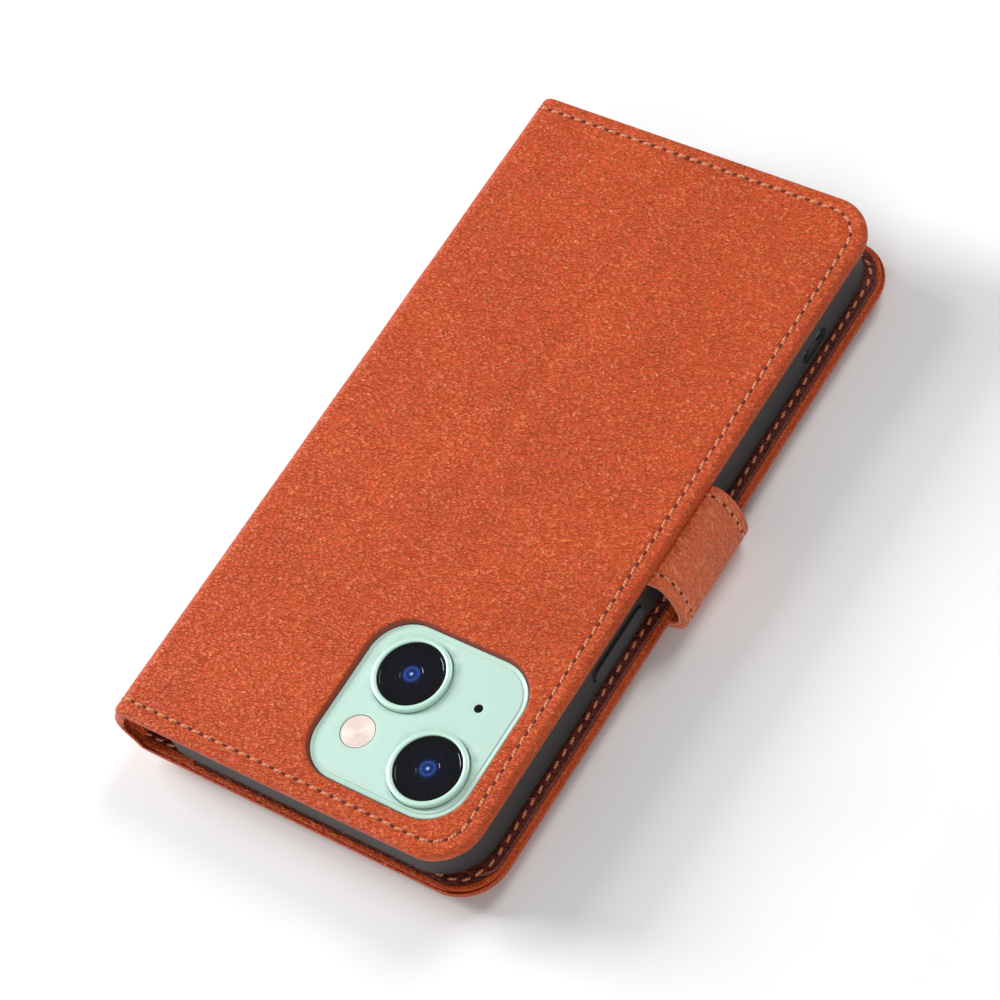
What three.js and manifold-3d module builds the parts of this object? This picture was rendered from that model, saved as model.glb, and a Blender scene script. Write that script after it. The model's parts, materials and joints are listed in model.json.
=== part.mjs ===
// A folding phone wallet case with a phone in it. A leather back panel carries a flexible tray,
// a leather spine joins it to a card-holding front cover, and a magnetic strap closes the cover.
//
// Millimetres. +X points from the spine to the strap, +Y from the camera end to the charging-port
// end, and +Z out of the back panel. Shapes are drawn with z = 0 on the back panel's outer face
// and lie below it; the exported group then moves them so that the origin is in the middle of the
// footprint, at the height of the strap's lowest face.

import * as THREE from "three";
import { mergeVertices } from "three/addons/utils/BufferGeometryUtils.js";
import Module from "manifold-3d";

const wasm = await Module();
wasm.setup();

// ---------------------------------------------------------------- driving dimensions

const PHONE = { width: 71.5, length: 146.7, thickness: 7.65, corner: 9.4 };
const PHONE_GLASS = 0.6; // thickness of the back glass and of the screen
const GLASS_EDGE = 0.5; // bare metal showing round each glass

const PANEL = { width: 77.4, length: 152, corner: 9.5 };
const COVER_OVERHANG = 0.6; // how far the front cover reaches past the back panel at the strap
const PAD = 0.05; // glue line between flat layers

const BACK_SKIN = 0.9;
const BACK_BOARD = 0.85;
const BACK_LINING = 0.55;
const TRAY_FLOOR = 0.85;
const TRAY_WALL = 1.15;
const TRAY_LIP = { width: 1.25, thickness: 1.25 };
const COVER_CLEARANCE = 0.3; // between the tray's lip and the closed cover

const FRONT_SKIN = 0.85;
const FRONT_BOARD = 0.8;
const FRONT_LINING = 0.4;
const CASH_PANEL = 0.3;
const CARD_LAYER = 0.2;
const CARD_SLOTS = 3;

const STRAP = { width: 22.4, centreY: 0.5, skin: 0.9, thickness: 2, tipX: 14, tipCorner: 8 };
const FLAP_CLEARANCE = 0.8; // between the front cover and the closed strap's flap
const MAGNET = { radius: 6, x: 25 };
const THREAD = { groove: 0.9, width: 0.6, depth: 0.3, thickness: 0.22 };
const SEAM_INSET = 3; // from the panel's edge to its seam

const CAMERA = { x: 15.5, y: -53, half: 16.9, corner: 8.2, recess: 1, opening: 0.45 };
const LENS = { radius: 6.5, ringRadius: 7.6, proud: 0.9, seat: 1.3 };
// places on the camera island, from its middle
const LENS_PLACES = [
  { x: -6.1, y: 7.1 },
  { x: 7.4, y: -7.7 },
];
const FLASH = { x: -9.1, y: -6.7, radius: 3.3 };
const MICROPHONE = { x: 8.9, y: 6.6, radius: 0.75 };

const BUTTON = { height: 3.6, proud: 0.6, play: 0.2, travel: 0.35 };
const SIDE_Z = -8; // middle height of the side buttons
const POWER_BUTTON = { y: -21.8, length: 16.8 };
const VOLUME_BUTTONS = { volume_up_button: -32.5, volume_down_button: -19.5 };
const VOLUME_LENGTH = 10;
const SILENT_SWITCH = { y: -45.5, length: 7.5, height: 4.4 };
const PORT = { width: 13, height: 5.4, plugWidth: 9, plugHeight: 2.9, depth: 7 };
const SPEAKERS = { x: 15.5, width: 10, height: 2.6 };
const LANYARD = { y: 49.1, spacing: 5.1, holeRadius: 1.15, slotHeight: 3.2, slotDepth: 0.5 };
const LANYARD_Z = -9;

const ARC_STEPS = 6; // segments of each rounded corner
const ROUND_STEPS = 32; // segments of each disc
const CURVE_STEPS = 10; // segments of each leather fold

// ---------------------------------------------------------------- heights

// Stacks flat layers from a start height, with a glue line between neighbours.
function stack(start, direction, thicknesses) {
  let height = start;
  return thicknesses.map((thickness) => {
    const end = height + direction * thickness;
    const layer = { top: Math.max(height, end), bottom: Math.min(height, end) };
    height = end + direction * PAD;
    return layer;
  });
}

const [backSkin, backBoard, backLining, trayFloor] = stack(0, -1, [
  BACK_SKIN,
  BACK_BOARD,
  BACK_LINING,
  TRAY_FLOOR,
]);
const phoneBack = trayFloor.bottom - PAD;
const phoneFront = phoneBack - PHONE.thickness;
const lipTop = phoneFront - PAD;
const trayBottom = lipTop - TRAY_LIP.thickness;
const [...cardLayers] = stack(
  trayBottom - COVER_CLEARANCE,
  -1,
  Array(CARD_SLOTS).fill(CARD_LAYER),
);
const [cashPanel, frontLining, frontBoard, frontSkin] = stack(
  cardLayers[CARD_SLOTS - 1].bottom - PAD,
  -1,
  [CASH_PANEL, FRONT_LINING, FRONT_BOARD, FRONT_SKIN],
);
const strapBottom = frontSkin.bottom - FLAP_CLEARANCE - STRAP.thickness;

// ---------------------------------------------------------------- solids

function toSolid(geometry) {
  const bare = geometry.clone();
  bare.deleteAttribute("normal");
  bare.deleteAttribute("uv");
  const merged = mergeVertices(bare);
  const mesh = new wasm.Mesh({
    numProp: 3,
    vertProperties: merged.attributes.position.array,
    triVerts: new Uint32Array(merged.index.array),
  });
  return new wasm.Manifold(mesh);
}

function toGeometry(solid) {
  const { vertProperties, triVerts } = solid.getMesh();
  const geometry = new THREE.BufferGeometry();
  geometry.setAttribute("position", new THREE.BufferAttribute(vertProperties, 3));
  geometry.setIndex(new THREE.BufferAttribute(triVerts, 1));
  geometry.computeVertexNormals();
  return geometry;
}

// A flat layer with an outline in the XY plane.
function slab(outline, layer, bevel = 0) {
  const geometry = new THREE.ExtrudeGeometry(outline, {
    depth: layer.top - layer.bottom - 2 * bevel,
    curveSegments: ARC_STEPS,
    bevelEnabled: bevel > 0,
    bevelThickness: bevel,
    bevelSize: bevel,
    bevelOffset: -bevel,
    bevelSegments: 1,
  });
  geometry.translate(0, 0, layer.bottom + bevel);
  return toSolid(geometry);
}

function disc(x, y, radius, layer) {
  const geometry = new THREE.CylinderGeometry(
    radius,
    radius,
    layer.top - layer.bottom,
    ROUND_STEPS,
  );
  geometry.rotateX(Math.PI / 2);
  geometry.translate(x, y, (layer.top + layer.bottom) / 2);
  return toSolid(geometry);
}

function block(x, y, z) {
  const geometry = new THREE.BoxGeometry(x[1] - x[0], y[1] - y[0], z[1] - z[0]);
  geometry.translate((x[0] + x[1]) / 2, (y[0] + y[1]) / 2, (z[0] + z[1]) / 2);
  return toSolid(geometry);
}

function rounded(centreX, centreY, halfWidth, halfLength, radius) {
  const shape = new THREE.Shape();
  const right = centreX + halfWidth - radius;
  const left = centreX - halfWidth + radius;
  const top = centreY + halfLength - radius;
  const bottom = centreY - halfLength + radius;
  shape.absarc(right, bottom, radius, -Math.PI / 2, 0);
  shape.absarc(right, top, radius, 0, Math.PI / 2);
  shape.absarc(left, top, radius, Math.PI / 2, Math.PI);
  shape.absarc(left, bottom, radius, Math.PI, 1.5 * Math.PI);
  return shape;
}

// A panel's outline drawn in by an inset on three sides: square corners at the spine, round
// corners at the strap side, where the front cover has an overhang.
function panelOutline(inset, spineX, overhang = 0) {
  const shape = new THREE.Shape();
  const radius = PANEL.corner - inset;
  const x = PANEL.width / 2 + overhang - PANEL.corner;
  const y = PANEL.length / 2 - PANEL.corner;
  shape.absarc(x, -y, radius, -Math.PI / 2, 0);
  shape.absarc(x, y, radius, 0, Math.PI / 2);
  shape.lineTo(spineX, y + radius);
  shape.lineTo(spineX, -y - radius);
  return shape;
}

// A band that follows a panel's three outer edges, as the seam and its groove do.
function edgeBand(inset, width, layer, overhang = 0) {
  const outer = slab(panelOutline(inset - width / 2, spineEdge, overhang), layer);
  const overshoot = { top: layer.top + 1, bottom: layer.bottom - 1 };
  const inner = slab(panelOutline(inset + width / 2, spineEdge - 1, overhang), overshoot);
  return outer.subtract(inner);
}

// A tall oblong through a side wall, its axis along X, with round ends.
function sidePlug(x, y, z, length, height) {
  const radius = height / 2 - 0.01;
  const shape = rounded(y, z, length / 2, height / 2, radius);
  const geometry = new THREE.ExtrudeGeometry(shape, {
    depth: x[1] - x[0],
    curveSegments: ARC_STEPS / 2,
    bevelEnabled: false,
  });
  // The shape's first axis becomes Y, its second Z, and its depth X.
  geometry.applyMatrix4(new THREE.Matrix4().set(0, 0, 1, x[0], 1, 0, 0, 0, 0, 1, 0, 0, 0, 0, 0, 1));
  return toSolid(geometry);
}

function endPlug(y, x, z, width, height) {
  const shape = rounded(x, z, width / 2, height / 2, height / 2 - 0.01);
  const geometry = new THREE.ExtrudeGeometry(shape, {
    depth: y[1] - y[0],
    curveSegments: ARC_STEPS / 2,
    bevelEnabled: false,
  });
  geometry.rotateX(Math.PI / 2);
  geometry.translate(0, y[1], 0);
  return toSolid(geometry);
}

// ---------------------------------------------------------------- folded leather profiles

// Samples part of a curve in the XZ plane, with the direction that points into the case.
function sampleFold(curve, from, to, side) {
  return Array.from({ length: CURVE_STEPS + 1 }, (_, i) => {
    const t = from + ((to - from) * i) / CURVE_STEPS;
    const tangent = curve.getTangent(t);
    return {
      point: curve.getPoint(t),
      inward: new THREE.Vector2(side * tangent.y, -side * tangent.x),
    };
  });
}

// Leather that follows a fold between two depths below its outer face, and runs along Y.
function foldedStrip(fold, depths, y) {
  const edge = (depth) =>
    fold.map(({ point, inward }) => point.clone().addScaledVector(inward, depth));
  const outline = new THREE.Shape([...edge(depths[0]), ...edge(depths[1]).reverse()]);
  const geometry = new THREE.ExtrudeGeometry(outline, {
    depth: y[1] - y[0],
    bevelEnabled: false,
  });
  geometry.rotateX(Math.PI / 2);
  geometry.translate(0, y[1], 0);
  return toSolid(geometry);
}

const spineEdge = -PANEL.width / 2;
const strapEdge = PANEL.width / 2;
const halfLength = PANEL.length / 2;

const SPINE_BULGE = 3.6; // how far the fold's control points stand out from the panel's edge
const SPINE_TOP = -1.2; // height where the spine leaves the back panel
const spineBottom = frontSkin.bottom - SPINE_TOP;
const spineShoulder = spineEdge - 1.6;
const SPINE_ROUND = 3.4;
const spineCurve = new THREE.CubicBezierCurve(
  new THREE.Vector2(spineShoulder, SPINE_TOP),
  new THREE.Vector2(spineEdge - SPINE_BULGE, SPINE_TOP - SPINE_ROUND),
  new THREE.Vector2(spineEdge - SPINE_BULGE, spineBottom + SPINE_ROUND),
  new THREE.Vector2(spineShoulder, spineBottom),
);

const STRAP_BULGE = 5.1; // how far the closed strap stands out from the panel's edge
const STRAP_TOP = -2.45; // height of the strap's outer face where it leaves the panel
const STRAP_WAIST = -12; // height where the strap is furthest out
const strapOut = strapEdge + STRAP_BULGE;
const strapTopCurve = new THREE.CubicBezierCurve(
  new THREE.Vector2(strapEdge + 0.6, STRAP_TOP),
  new THREE.Vector2(strapOut - 1.6, STRAP_TOP),
  new THREE.Vector2(strapOut, STRAP_TOP - 4.5),
  new THREE.Vector2(strapOut, STRAP_WAIST),
);
const flapStart = strapEdge - 1.5;
const strapLowCurve = new THREE.CubicBezierCurve(
  new THREE.Vector2(strapOut, STRAP_WAIST),
  new THREE.Vector2(strapOut, STRAP_WAIST - 3.5),
  new THREE.Vector2(strapEdge + 3, strapBottom),
  new THREE.Vector2(flapStart, strapBottom),
);
const TOP_SPLIT = 0.42; // where the strap's upper fold turns, as a share of its curve
const LOW_SPLIT = 0.5; // where its lower fold turns
const SPLIT_SHARE = 0.015; // share of the curve left free on each side of a fold line

const flapPlane = {
  point: new THREE.Vector2(STRAP.tipX, strapBottom),
  inward: new THREE.Vector2(0, 1),
};
const stubFold = sampleFold(strapTopCurve, 0, TOP_SPLIT - SPLIT_SHARE, 1);
const bandFold = [
  ...sampleFold(strapTopCurve, TOP_SPLIT + SPLIT_SHARE, 1, 1),
  ...sampleFold(strapLowCurve, 0, LOW_SPLIT - SPLIT_SHARE, 1).slice(1),
];
const flapFold = [...sampleFold(strapLowCurve, LOW_SPLIT + SPLIT_SHARE, 1, 1), flapPlane];
const strapY = [STRAP.centreY - STRAP.width / 2, STRAP.centreY + STRAP.width / 2];

// ---------------------------------------------------------------- materials

const COLOURS = {
  leather: [0xb5532f, 0.55, 0],
  lining: [0x7a3521, 0.7, 0],
  board: [0x8f867a, 0.9, 0],
  thread: [0xd9905f, 0.8, 0],
  tray: [0x3a3a3a, 0.75, 0],
  magnet: [0x9a9a9c, 0.4, 1],
  mint: [0xc4e8d8, 0.4, 0.2],
  glass: [0x0b0c10, 0.1, 0],
  flash: [0xf2e2d2, 0.3, 0],
};

const model = new THREE.Group();

function add(name, finish, solid) {
  const [color, roughness, metalness] = COLOURS[finish];
  const material = new THREE.MeshStandardMaterial({ color, roughness, metalness });
  const mesh = new THREE.Mesh(toGeometry(solid), material);
  mesh.name = name;
  model.add(mesh);
}

// ---------------------------------------------------------------- back panel

const RIM_INSET = 1; // thickness of the leather turned down round the panel's edge
const FOLD_LINE_X = -2.9; // soft crease between the panel's two boards
const CREASE_WIDTH = 1.6;
const TAB = { length: 11, play: 0.4 }; // end of the strap sewn into the panel

function cameraOpening(layer, extra = 0) {
  const half = CAMERA.half + CAMERA.opening + extra;
  return slab(rounded(CAMERA.x, CAMERA.y, half, half, CAMERA.corner + CAMERA.opening), {
    top: layer.top + 1,
    bottom: layer.bottom - 1,
  });
}

function backPanel() {
  const shell = slab(panelOutline(0, spineEdge), { top: 0, bottom: backLining.bottom + PAD });
  const hollow = slab(panelOutline(RIM_INSET, spineEdge - 1), {
    top: backSkin.bottom,
    bottom: backLining.bottom - 1,
  });
  const groove = edgeBand(SEAM_INSET, THREAD.groove, { top: 1, bottom: -THREAD.depth });
  add(
    "back_skin",
    "leather",
    shell.subtract(hollow).subtract(groove).subtract(cameraOpening(backSkin)),
  );
  const threadTop = -(THREAD.depth - THREAD.thickness) / 2;
  add(
    "back_stitching",
    "thread",
    edgeBand(SEAM_INSET, THREAD.width, { top: threadTop, bottom: threadTop - THREAD.thickness }),
  );

  const board = slab(panelOutline(RIM_INSET + 2 * PAD, spineEdge + RIM_INSET), backBoard);
  const crease = FOLD_LINE_X + CREASE_WIDTH / 2;
  const everyY = [-PANEL.length, PANEL.length];
  const everyZ = [trayBottom, 1];
  const spineHalf = block([crease - CREASE_WIDTH, PANEL.width], everyY, everyZ);
  const strapHalf = block([-PANEL.width, crease], everyY, everyZ);
  const beside = block(
    [crease - 1, CAMERA.x],
    [CAMERA.y - CAMERA.half, CAMERA.y + CAMERA.half],
    everyZ,
  );
  add("back_board_spine_side", "board", board.subtract(spineHalf));
  add(
    "back_board_strap_side",
    "board",
    board.subtract(strapHalf).subtract(cameraOpening(backBoard)).subtract(beside),
  );

  const lining = slab(panelOutline(RIM_INSET + 2 * PAD, spineEdge + RIM_INSET), backLining);
  const notch = block(
    [strapEdge - TAB.length - TAB.play, PANEL.width],
    [strapY[0] - TAB.play, strapY[1] + TAB.play],
    everyZ,
  );
  add("back_lining", "lining", lining.subtract(cameraOpening(backLining)).subtract(notch));
}

// ---------------------------------------------------------------- tray

const trayHalf = {
  x: PHONE.width / 2 + 2 * PAD + TRAY_WALL,
  y: PHONE.length / 2 + 2 * PAD + TRAY_WALL,
};

function trayOutline(inset) {
  const radius = PHONE.corner + 2 * PAD + TRAY_WALL - inset;
  return rounded(0, 0, trayHalf.x - inset, trayHalf.y - inset, radius);
}

function tray() {
  const EDGE_BEVEL = 0.7;
  let shell = slab(trayOutline(0), { top: trayFloor.top, bottom: trayBottom }, EDGE_BEVEL);
  const wallX = [trayHalf.x - TRAY_WALL - 1, trayHalf.x + 1];
  const spineWallX = [-wallX[1], -wallX[0]];
  const wallY = [trayHalf.y - TRAY_WALL - 1, trayHalf.y + 1];
  const pocket = [
    slab(trayOutline(TRAY_WALL), { top: trayFloor.bottom, bottom: lipTop }),
    slab(trayOutline(TRAY_WALL + TRAY_LIP.width), { top: lipTop + 1, bottom: trayBottom - 1 }),
    cameraOpening(trayFloor),
  ];
  const buttonHoles = [
    sidePlug(wallX, POWER_BUTTON.y, SIDE_Z, POWER_BUTTON.length, BUTTON.height),
    ...Object.values(VOLUME_BUTTONS).map((y) =>
      sidePlug(spineWallX, y, SIDE_Z, VOLUME_LENGTH, BUTTON.height),
    ),
    sidePlug(spineWallX, SILENT_SWITCH.y, SIDE_Z, SILENT_SWITCH.length, SILENT_SWITCH.height),
  ];
  const endHoles = [
    endPlug(wallY, 0, SIDE_Z + 0.5, PORT.width, PORT.height),
    ...[-1, 1].map((side) =>
      endPlug(wallY, side * SPEAKERS.x, SIDE_Z + 0.5, SPEAKERS.width, SPEAKERS.height),
    ),
  ];
  const slotX = [trayHalf.x - LANYARD.slotDepth, trayHalf.x + 1];
  const slotLength = LANYARD.spacing + LANYARD.slotHeight;
  const lanyard = [
    sidePlug(slotX, LANYARD.y, LANYARD_Z, slotLength, LANYARD.slotHeight),
    ...[-0.5, 0.5].map((side) => {
      const y = LANYARD.y + side * LANYARD.spacing;
      const across = 2 * LANYARD.holeRadius;
      return sidePlug(wallX, y, LANYARD_Z, across + 0.4, across);
    }),
  ];
  for (const cut of [...pocket, ...buttonHoles, ...endHoles, ...lanyard]) {
    shell = shell.subtract(cut);
  }
  add("tray", "tray", shell);
}

function sideButton(name, side, y, length) {
  const inner = PHONE.width / 2 + BUTTON.travel + 2 * PAD;
  const outer = trayHalf.x + BUTTON.proud;
  const x = side > 0 ? [inner, outer] : [-outer, -inner];
  const clear = 2 * BUTTON.play;
  add(name, "tray", sidePlug(x, y, SIDE_Z, length - clear, BUTTON.height - clear));
}

function buttons() {
  sideButton("power_button", 1, POWER_BUTTON.y, POWER_BUTTON.length);
  for (const [name, y] of Object.entries(VOLUME_BUTTONS)) {
    sideButton(name, -1, y, VOLUME_LENGTH);
  }
}

// ---------------------------------------------------------------- phone

function phoneOutline(inset) {
  const { width, length, corner } = PHONE;
  return rounded(0, 0, width / 2 - inset, length / 2 - inset, corner - inset);
}

function phone() {
  const FRAME_BEVEL = 0.9;
  const glassBed = PHONE_GLASS + PAD;
  const backGlass = { top: phoneBack, bottom: phoneBack - PHONE_GLASS };
  const screen = { top: phoneFront + PHONE_GLASS, bottom: phoneFront };
  const plugY = [PHONE.length / 2 - PORT.depth, PHONE.length / 2 + 1];
  const socket = endPlug(plugY, 0, SIDE_Z + 0.5, PORT.plugWidth, PORT.plugHeight);
  const beds = [
    { top: phoneBack + 1, bottom: phoneBack - glassBed },
    { top: phoneFront + glassBed, bottom: phoneFront - 1 },
  ];
  let frame = slab(phoneOutline(0), { top: phoneBack, bottom: phoneFront }, FRAME_BEVEL);
  for (const bed of beds) {
    frame = frame.subtract(slab(phoneOutline(FRAME_BEVEL + GLASS_EDGE), bed));
  }
  add("phone_frame", "mint", frame.subtract(socket));
  const glassInset = FRAME_BEVEL + GLASS_EDGE + PAD;
  add("phone_back_glass", "mint", slab(phoneOutline(glassInset), backGlass));
  add("phone_screen", "glass", slab(phoneOutline(glassInset), screen));
}

function phoneCamera() {
  const ISLAND_BEVEL = 0.4;
  const island = { top: -CAMERA.recess, bottom: phoneBack + PAD };
  const seat = island.top - LENS.seat;
  const open = { top: 1, bottom: seat };
  const onIsland = ({ x, y }) => ({ x: CAMERA.x + x, y: CAMERA.y + y });
  const lensPlaces = LENS_PLACES.map(onIsland);
  const flashPlace = onIsland(FLASH);
  const micPlace = onIsland(MICROPHONE);

  const outline = rounded(CAMERA.x, CAMERA.y, CAMERA.half, CAMERA.half, CAMERA.corner);
  let plateau = slab(outline, island, ISLAND_BEVEL);
  for (const { x, y } of lensPlaces) {
    plateau = plateau.subtract(disc(x, y, LENS.ringRadius + PAD, open));
  }
  plateau = plateau.subtract(disc(flashPlace.x, flashPlace.y, FLASH.radius + PAD, open));
  plateau = plateau.subtract(disc(micPlace.x, micPlace.y, MICROPHONE.radius + PAD, open));
  add("phone_camera_plateau", "mint", plateau);

  lensPlaces.forEach(({ x, y }, i) => {
    const ring = { top: island.top + LENS.proud, bottom: seat + PAD };
    const glass = { top: island.top + LENS.proud / 2, bottom: seat + PAD };
    const bore = { top: ring.top + 1, bottom: ring.bottom - 1 };
    const outside = disc(x, y, LENS.ringRadius, ring);
    add(`phone_lens_ring_${i + 1}`, "mint", outside.subtract(disc(x, y, LENS.radius + PAD, bore)));
    add(`phone_lens_${i + 1}`, "glass", disc(x, y, LENS.radius, glass));
  });
  const flush = { top: island.top - PAD, bottom: seat + PAD };
  add("phone_flash", "flash", disc(flashPlace.x, flashPlace.y, FLASH.radius, flush));
  add("phone_microphone", "glass", disc(micPlace.x, micPlace.y, MICROPHONE.radius, flush));
}

// ---------------------------------------------------------------- spine

function spine() {
  const SPINE_LINING = 0.4;
  const fold = sampleFold(spineCurve, 0, 1, -1);
  const liningFold = sampleFold(spineCurve, 0.04, 0.96, -1);
  add("spine_skin", "leather", foldedStrip(fold, [0, BACK_SKIN], [-halfLength, halfLength]));
  add(
    "spine_lining",
    "lining",
    foldedStrip(
      liningFold,
      [BACK_SKIN + PAD, BACK_SKIN + PAD + SPINE_LINING],
      [1 - halfLength, halfLength - 1],
    ),
  );
}

// ---------------------------------------------------------------- front cover

const CASH_MOUTH = 11.5; // from the cover's spine edge to the cash pocket's mouth
const FIRST_SLOT = 24; // from the cover's spine edge to the first card slot's mouth
const SLOT_STEP = 11;
const SLOT_END = 5; // card slots stop short of the cover's two ends

function frontCover() {
  const outline = (inset, spineX) => panelOutline(inset, spineX, COVER_OVERHANG);
  const rim = { top: frontBoard.top, bottom: frontSkin.bottom };
  const hollow = slab(outline(RIM_INSET, spineEdge - 1), {
    top: rim.top + 1,
    bottom: frontSkin.top,
  });
  const grooveLayer = { top: frontSkin.bottom + THREAD.depth, bottom: frontSkin.bottom - 1 };
  const groove = edgeBand(SEAM_INSET, THREAD.groove, grooveLayer, COVER_OVERHANG);
  const shell = slab(outline(0, spineEdge), rim);
  add("front_skin", "leather", shell.subtract(hollow).subtract(groove));
  const threadBottom = frontSkin.bottom + (THREAD.depth - THREAD.thickness) / 2;
  const threadLayer = { top: threadBottom + THREAD.thickness, bottom: threadBottom };
  const seam = edgeBand(SEAM_INSET, THREAD.width, threadLayer, COVER_OVERHANG);
  add("front_stitching", "thread", seam);

  const board = slab(outline(RIM_INSET + 2 * PAD, spineEdge + RIM_INSET), frontBoard);
  const magnetHole = disc(MAGNET.x, STRAP.centreY, MAGNET.radius + PAD, {
    top: frontBoard.top + 1,
    bottom: frontBoard.bottom - 1,
  });
  add("front_board", "board", board.subtract(magnetHole));
  add("cover_magnet", "magnet", disc(MAGNET.x, STRAP.centreY, MAGNET.radius, frontBoard));

  const edge = PAD * 6; // the lining stops just inside the turned leather
  add("front_lining", "lining", slab(outline(edge, spineEdge + RIM_INSET), frontLining));
  add("cash_pocket_panel", "lining", slab(outline(edge, spineEdge + CASH_MOUTH), cashPanel));
  const between = block(
    [-PANEL.width, PANEL.width],
    [SLOT_END - halfLength, halfLength - SLOT_END],
    [frontSkin.bottom, 0],
  );
  cardLayers
    .slice()
    .reverse()
    .forEach((layer, i) => {
      const mouth = spineEdge + FIRST_SLOT + i * SLOT_STEP;
      const panel = slab(outline(edge, mouth), layer).intersect(between);
      add(`card_slot_${i + 1}`, "lining", panel);
    });
}

// ---------------------------------------------------------------- strap

function strap() {
  const inner = [STRAP.skin + PAD, STRAP.thickness];
  const outer = [0, STRAP.skin];

  const stub = foldedStrip(stubFold, [0, STRAP.thickness], strapY);
  const linkX = trayHalf.x + 2 * PAD;
  const tabTop = backLining.top;
  const tabY = [strapY[0] + TAB.play, strapY[1] - TAB.play];
  const linkEnd = strapEdge - RIM_INSET - 2 * PAD;
  const tab = block([strapEdge - TAB.length, linkEnd], tabY, [backLining.bottom, tabTop]);
  const drop = block([linkX, linkEnd], tabY, [STRAP_TOP - STRAP.thickness, tabTop]);
  const under = block([linkX, strapEdge + 0.7], tabY, [
    STRAP_TOP - STRAP.thickness,
    STRAP_TOP + PAD / 2,
  ]);
  add("strap_anchor", "leather", stub.add(tab).add(drop).add(under));

  add("strap_band_skin", "leather", foldedStrip(bandFold, outer, strapY));
  add("strap_band_lining", "leather", foldedStrip(bandFold, inner, strapY));

  const tipOutline = new THREE.Shape();
  const { tipCorner, tipX } = STRAP;
  tipOutline.moveTo(PANEL.width, strapY[0] - 1);
  tipOutline.lineTo(PANEL.width, strapY[1] + 1);
  tipOutline.lineTo(PANEL.width / 2, strapY[1] + 1);
  tipOutline.lineTo(tipX + tipCorner, strapY[1]);
  tipOutline.absarc(tipX + tipCorner, strapY[1] - tipCorner, tipCorner, Math.PI / 2, Math.PI);
  tipOutline.absarc(tipX + tipCorner, strapY[0] + tipCorner, tipCorner, Math.PI, 1.5 * Math.PI);
  tipOutline.lineTo(PANEL.width / 2, strapY[0] - 1);
  const tip = slab(tipOutline, { top: 1, bottom: strapBottom - 1 });
  const magnetLayer = {
    bottom: strapBottom + STRAP.skin + PAD,
    top: strapBottom + STRAP.skin + PAD + STRAP.thickness / 4,
  };
  const magnetPocket = disc(MAGNET.x, STRAP.centreY, MAGNET.radius + PAD, {
    bottom: strapBottom,
    top: magnetLayer.top + PAD,
  });
  add("strap_flap_skin", "leather", foldedStrip(flapFold, outer, strapY).intersect(tip));
  add(
    "strap_flap_lining",
    "leather",
    foldedStrip(flapFold, inner, strapY).intersect(tip).subtract(magnetPocket),
  );
  add("strap_magnet", "magnet", disc(MAGNET.x, STRAP.centreY, MAGNET.radius, magnetLayer));
}

backPanel();
tray();
buttons();
phone();
phoneCamera();
spine();
frontCover();
strap();

// ---------------------------------------------------------------- origin

const box = new THREE.Box3().setFromObject(model);
model.position.set(-(box.min.x + box.max.x) / 2, 0, -box.min.z);
model.updateMatrixWorld();

export default model;
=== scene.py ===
import json
import math

import bpy
import numpy as np
from mathutils import Matrix, Vector
from mathutils.geometry import delaunay_2d_cdt


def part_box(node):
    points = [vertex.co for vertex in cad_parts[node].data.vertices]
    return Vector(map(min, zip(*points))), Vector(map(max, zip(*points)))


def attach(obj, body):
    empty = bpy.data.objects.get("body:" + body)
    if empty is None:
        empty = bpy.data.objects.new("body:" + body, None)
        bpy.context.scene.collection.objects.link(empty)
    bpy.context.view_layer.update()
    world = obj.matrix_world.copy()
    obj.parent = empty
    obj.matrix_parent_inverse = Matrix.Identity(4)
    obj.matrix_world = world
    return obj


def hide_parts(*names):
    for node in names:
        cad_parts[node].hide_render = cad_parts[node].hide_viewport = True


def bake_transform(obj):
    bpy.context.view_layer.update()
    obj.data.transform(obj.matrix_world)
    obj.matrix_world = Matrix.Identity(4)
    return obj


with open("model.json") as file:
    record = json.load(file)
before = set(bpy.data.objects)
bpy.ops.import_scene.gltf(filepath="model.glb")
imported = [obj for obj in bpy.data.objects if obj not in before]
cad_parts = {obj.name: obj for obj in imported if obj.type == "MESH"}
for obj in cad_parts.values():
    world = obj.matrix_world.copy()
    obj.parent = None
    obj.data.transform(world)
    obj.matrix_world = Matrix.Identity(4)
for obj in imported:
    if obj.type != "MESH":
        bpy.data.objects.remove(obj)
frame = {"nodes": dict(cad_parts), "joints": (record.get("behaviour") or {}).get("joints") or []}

# The case is drawn in millimetres in the row frame: +X from the spine to the strap, +Y from the
# camera end to the charging-port end, +Z out of the back panel. Meshes are written in metres.
MM = 0.001
scene = bpy.context.scene
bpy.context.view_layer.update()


def box_mm(node):
    """The low and high corners of a CAD node's box."""
    lo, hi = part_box(node)
    return np.array(lo) / MM, np.array(hi) / MM


# ------------------------ places from the CAD frame

back_lo, back_hi = box_mm("back_skin")
front_lo, front_hi = box_mm("front_skin")
lining_hi = box_mm("front_lining")[1]
pocket_lo, pocket_hi = box_mm("cash_pocket_panel")
band_lo, band_hi = box_mm("strap_band_skin")
flap_lo = box_mm("strap_flap_skin")[0]
tray_lo, tray_hi = box_mm("tray")
island_lo, island_hi = box_mm("phone_camera_plateau")

OVERHANG = 0.6  # the soft outer leather reaches this much past the cover's board
front_hi[0] += OVERHANG
lining_hi[0] += OVERHANG

TOP = back_hi[2]
BOTTOM = front_lo[2]
MID_Z = (TOP + BOTTOM) / 2
HALF = back_hi[1]  # half the panels' length
SPINE_X = back_lo[0]  # where the panels end and the spine starts
SPINE_OUT = box_mm("spine_skin")[0][0]
FLAT_START = SPINE_X + 6  # where the leather that comes off the spine has become flat
SKIN = 0.9  # thickness of the outer leather
CORNER = 9.5
CREASE_X = (box_mm("back_board_spine_side")[1][0] + box_mm("back_board_strap_side")[0][0]) / 2
CREASE_END = -34


# ------------------------ folded paths in the XZ plane

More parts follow.
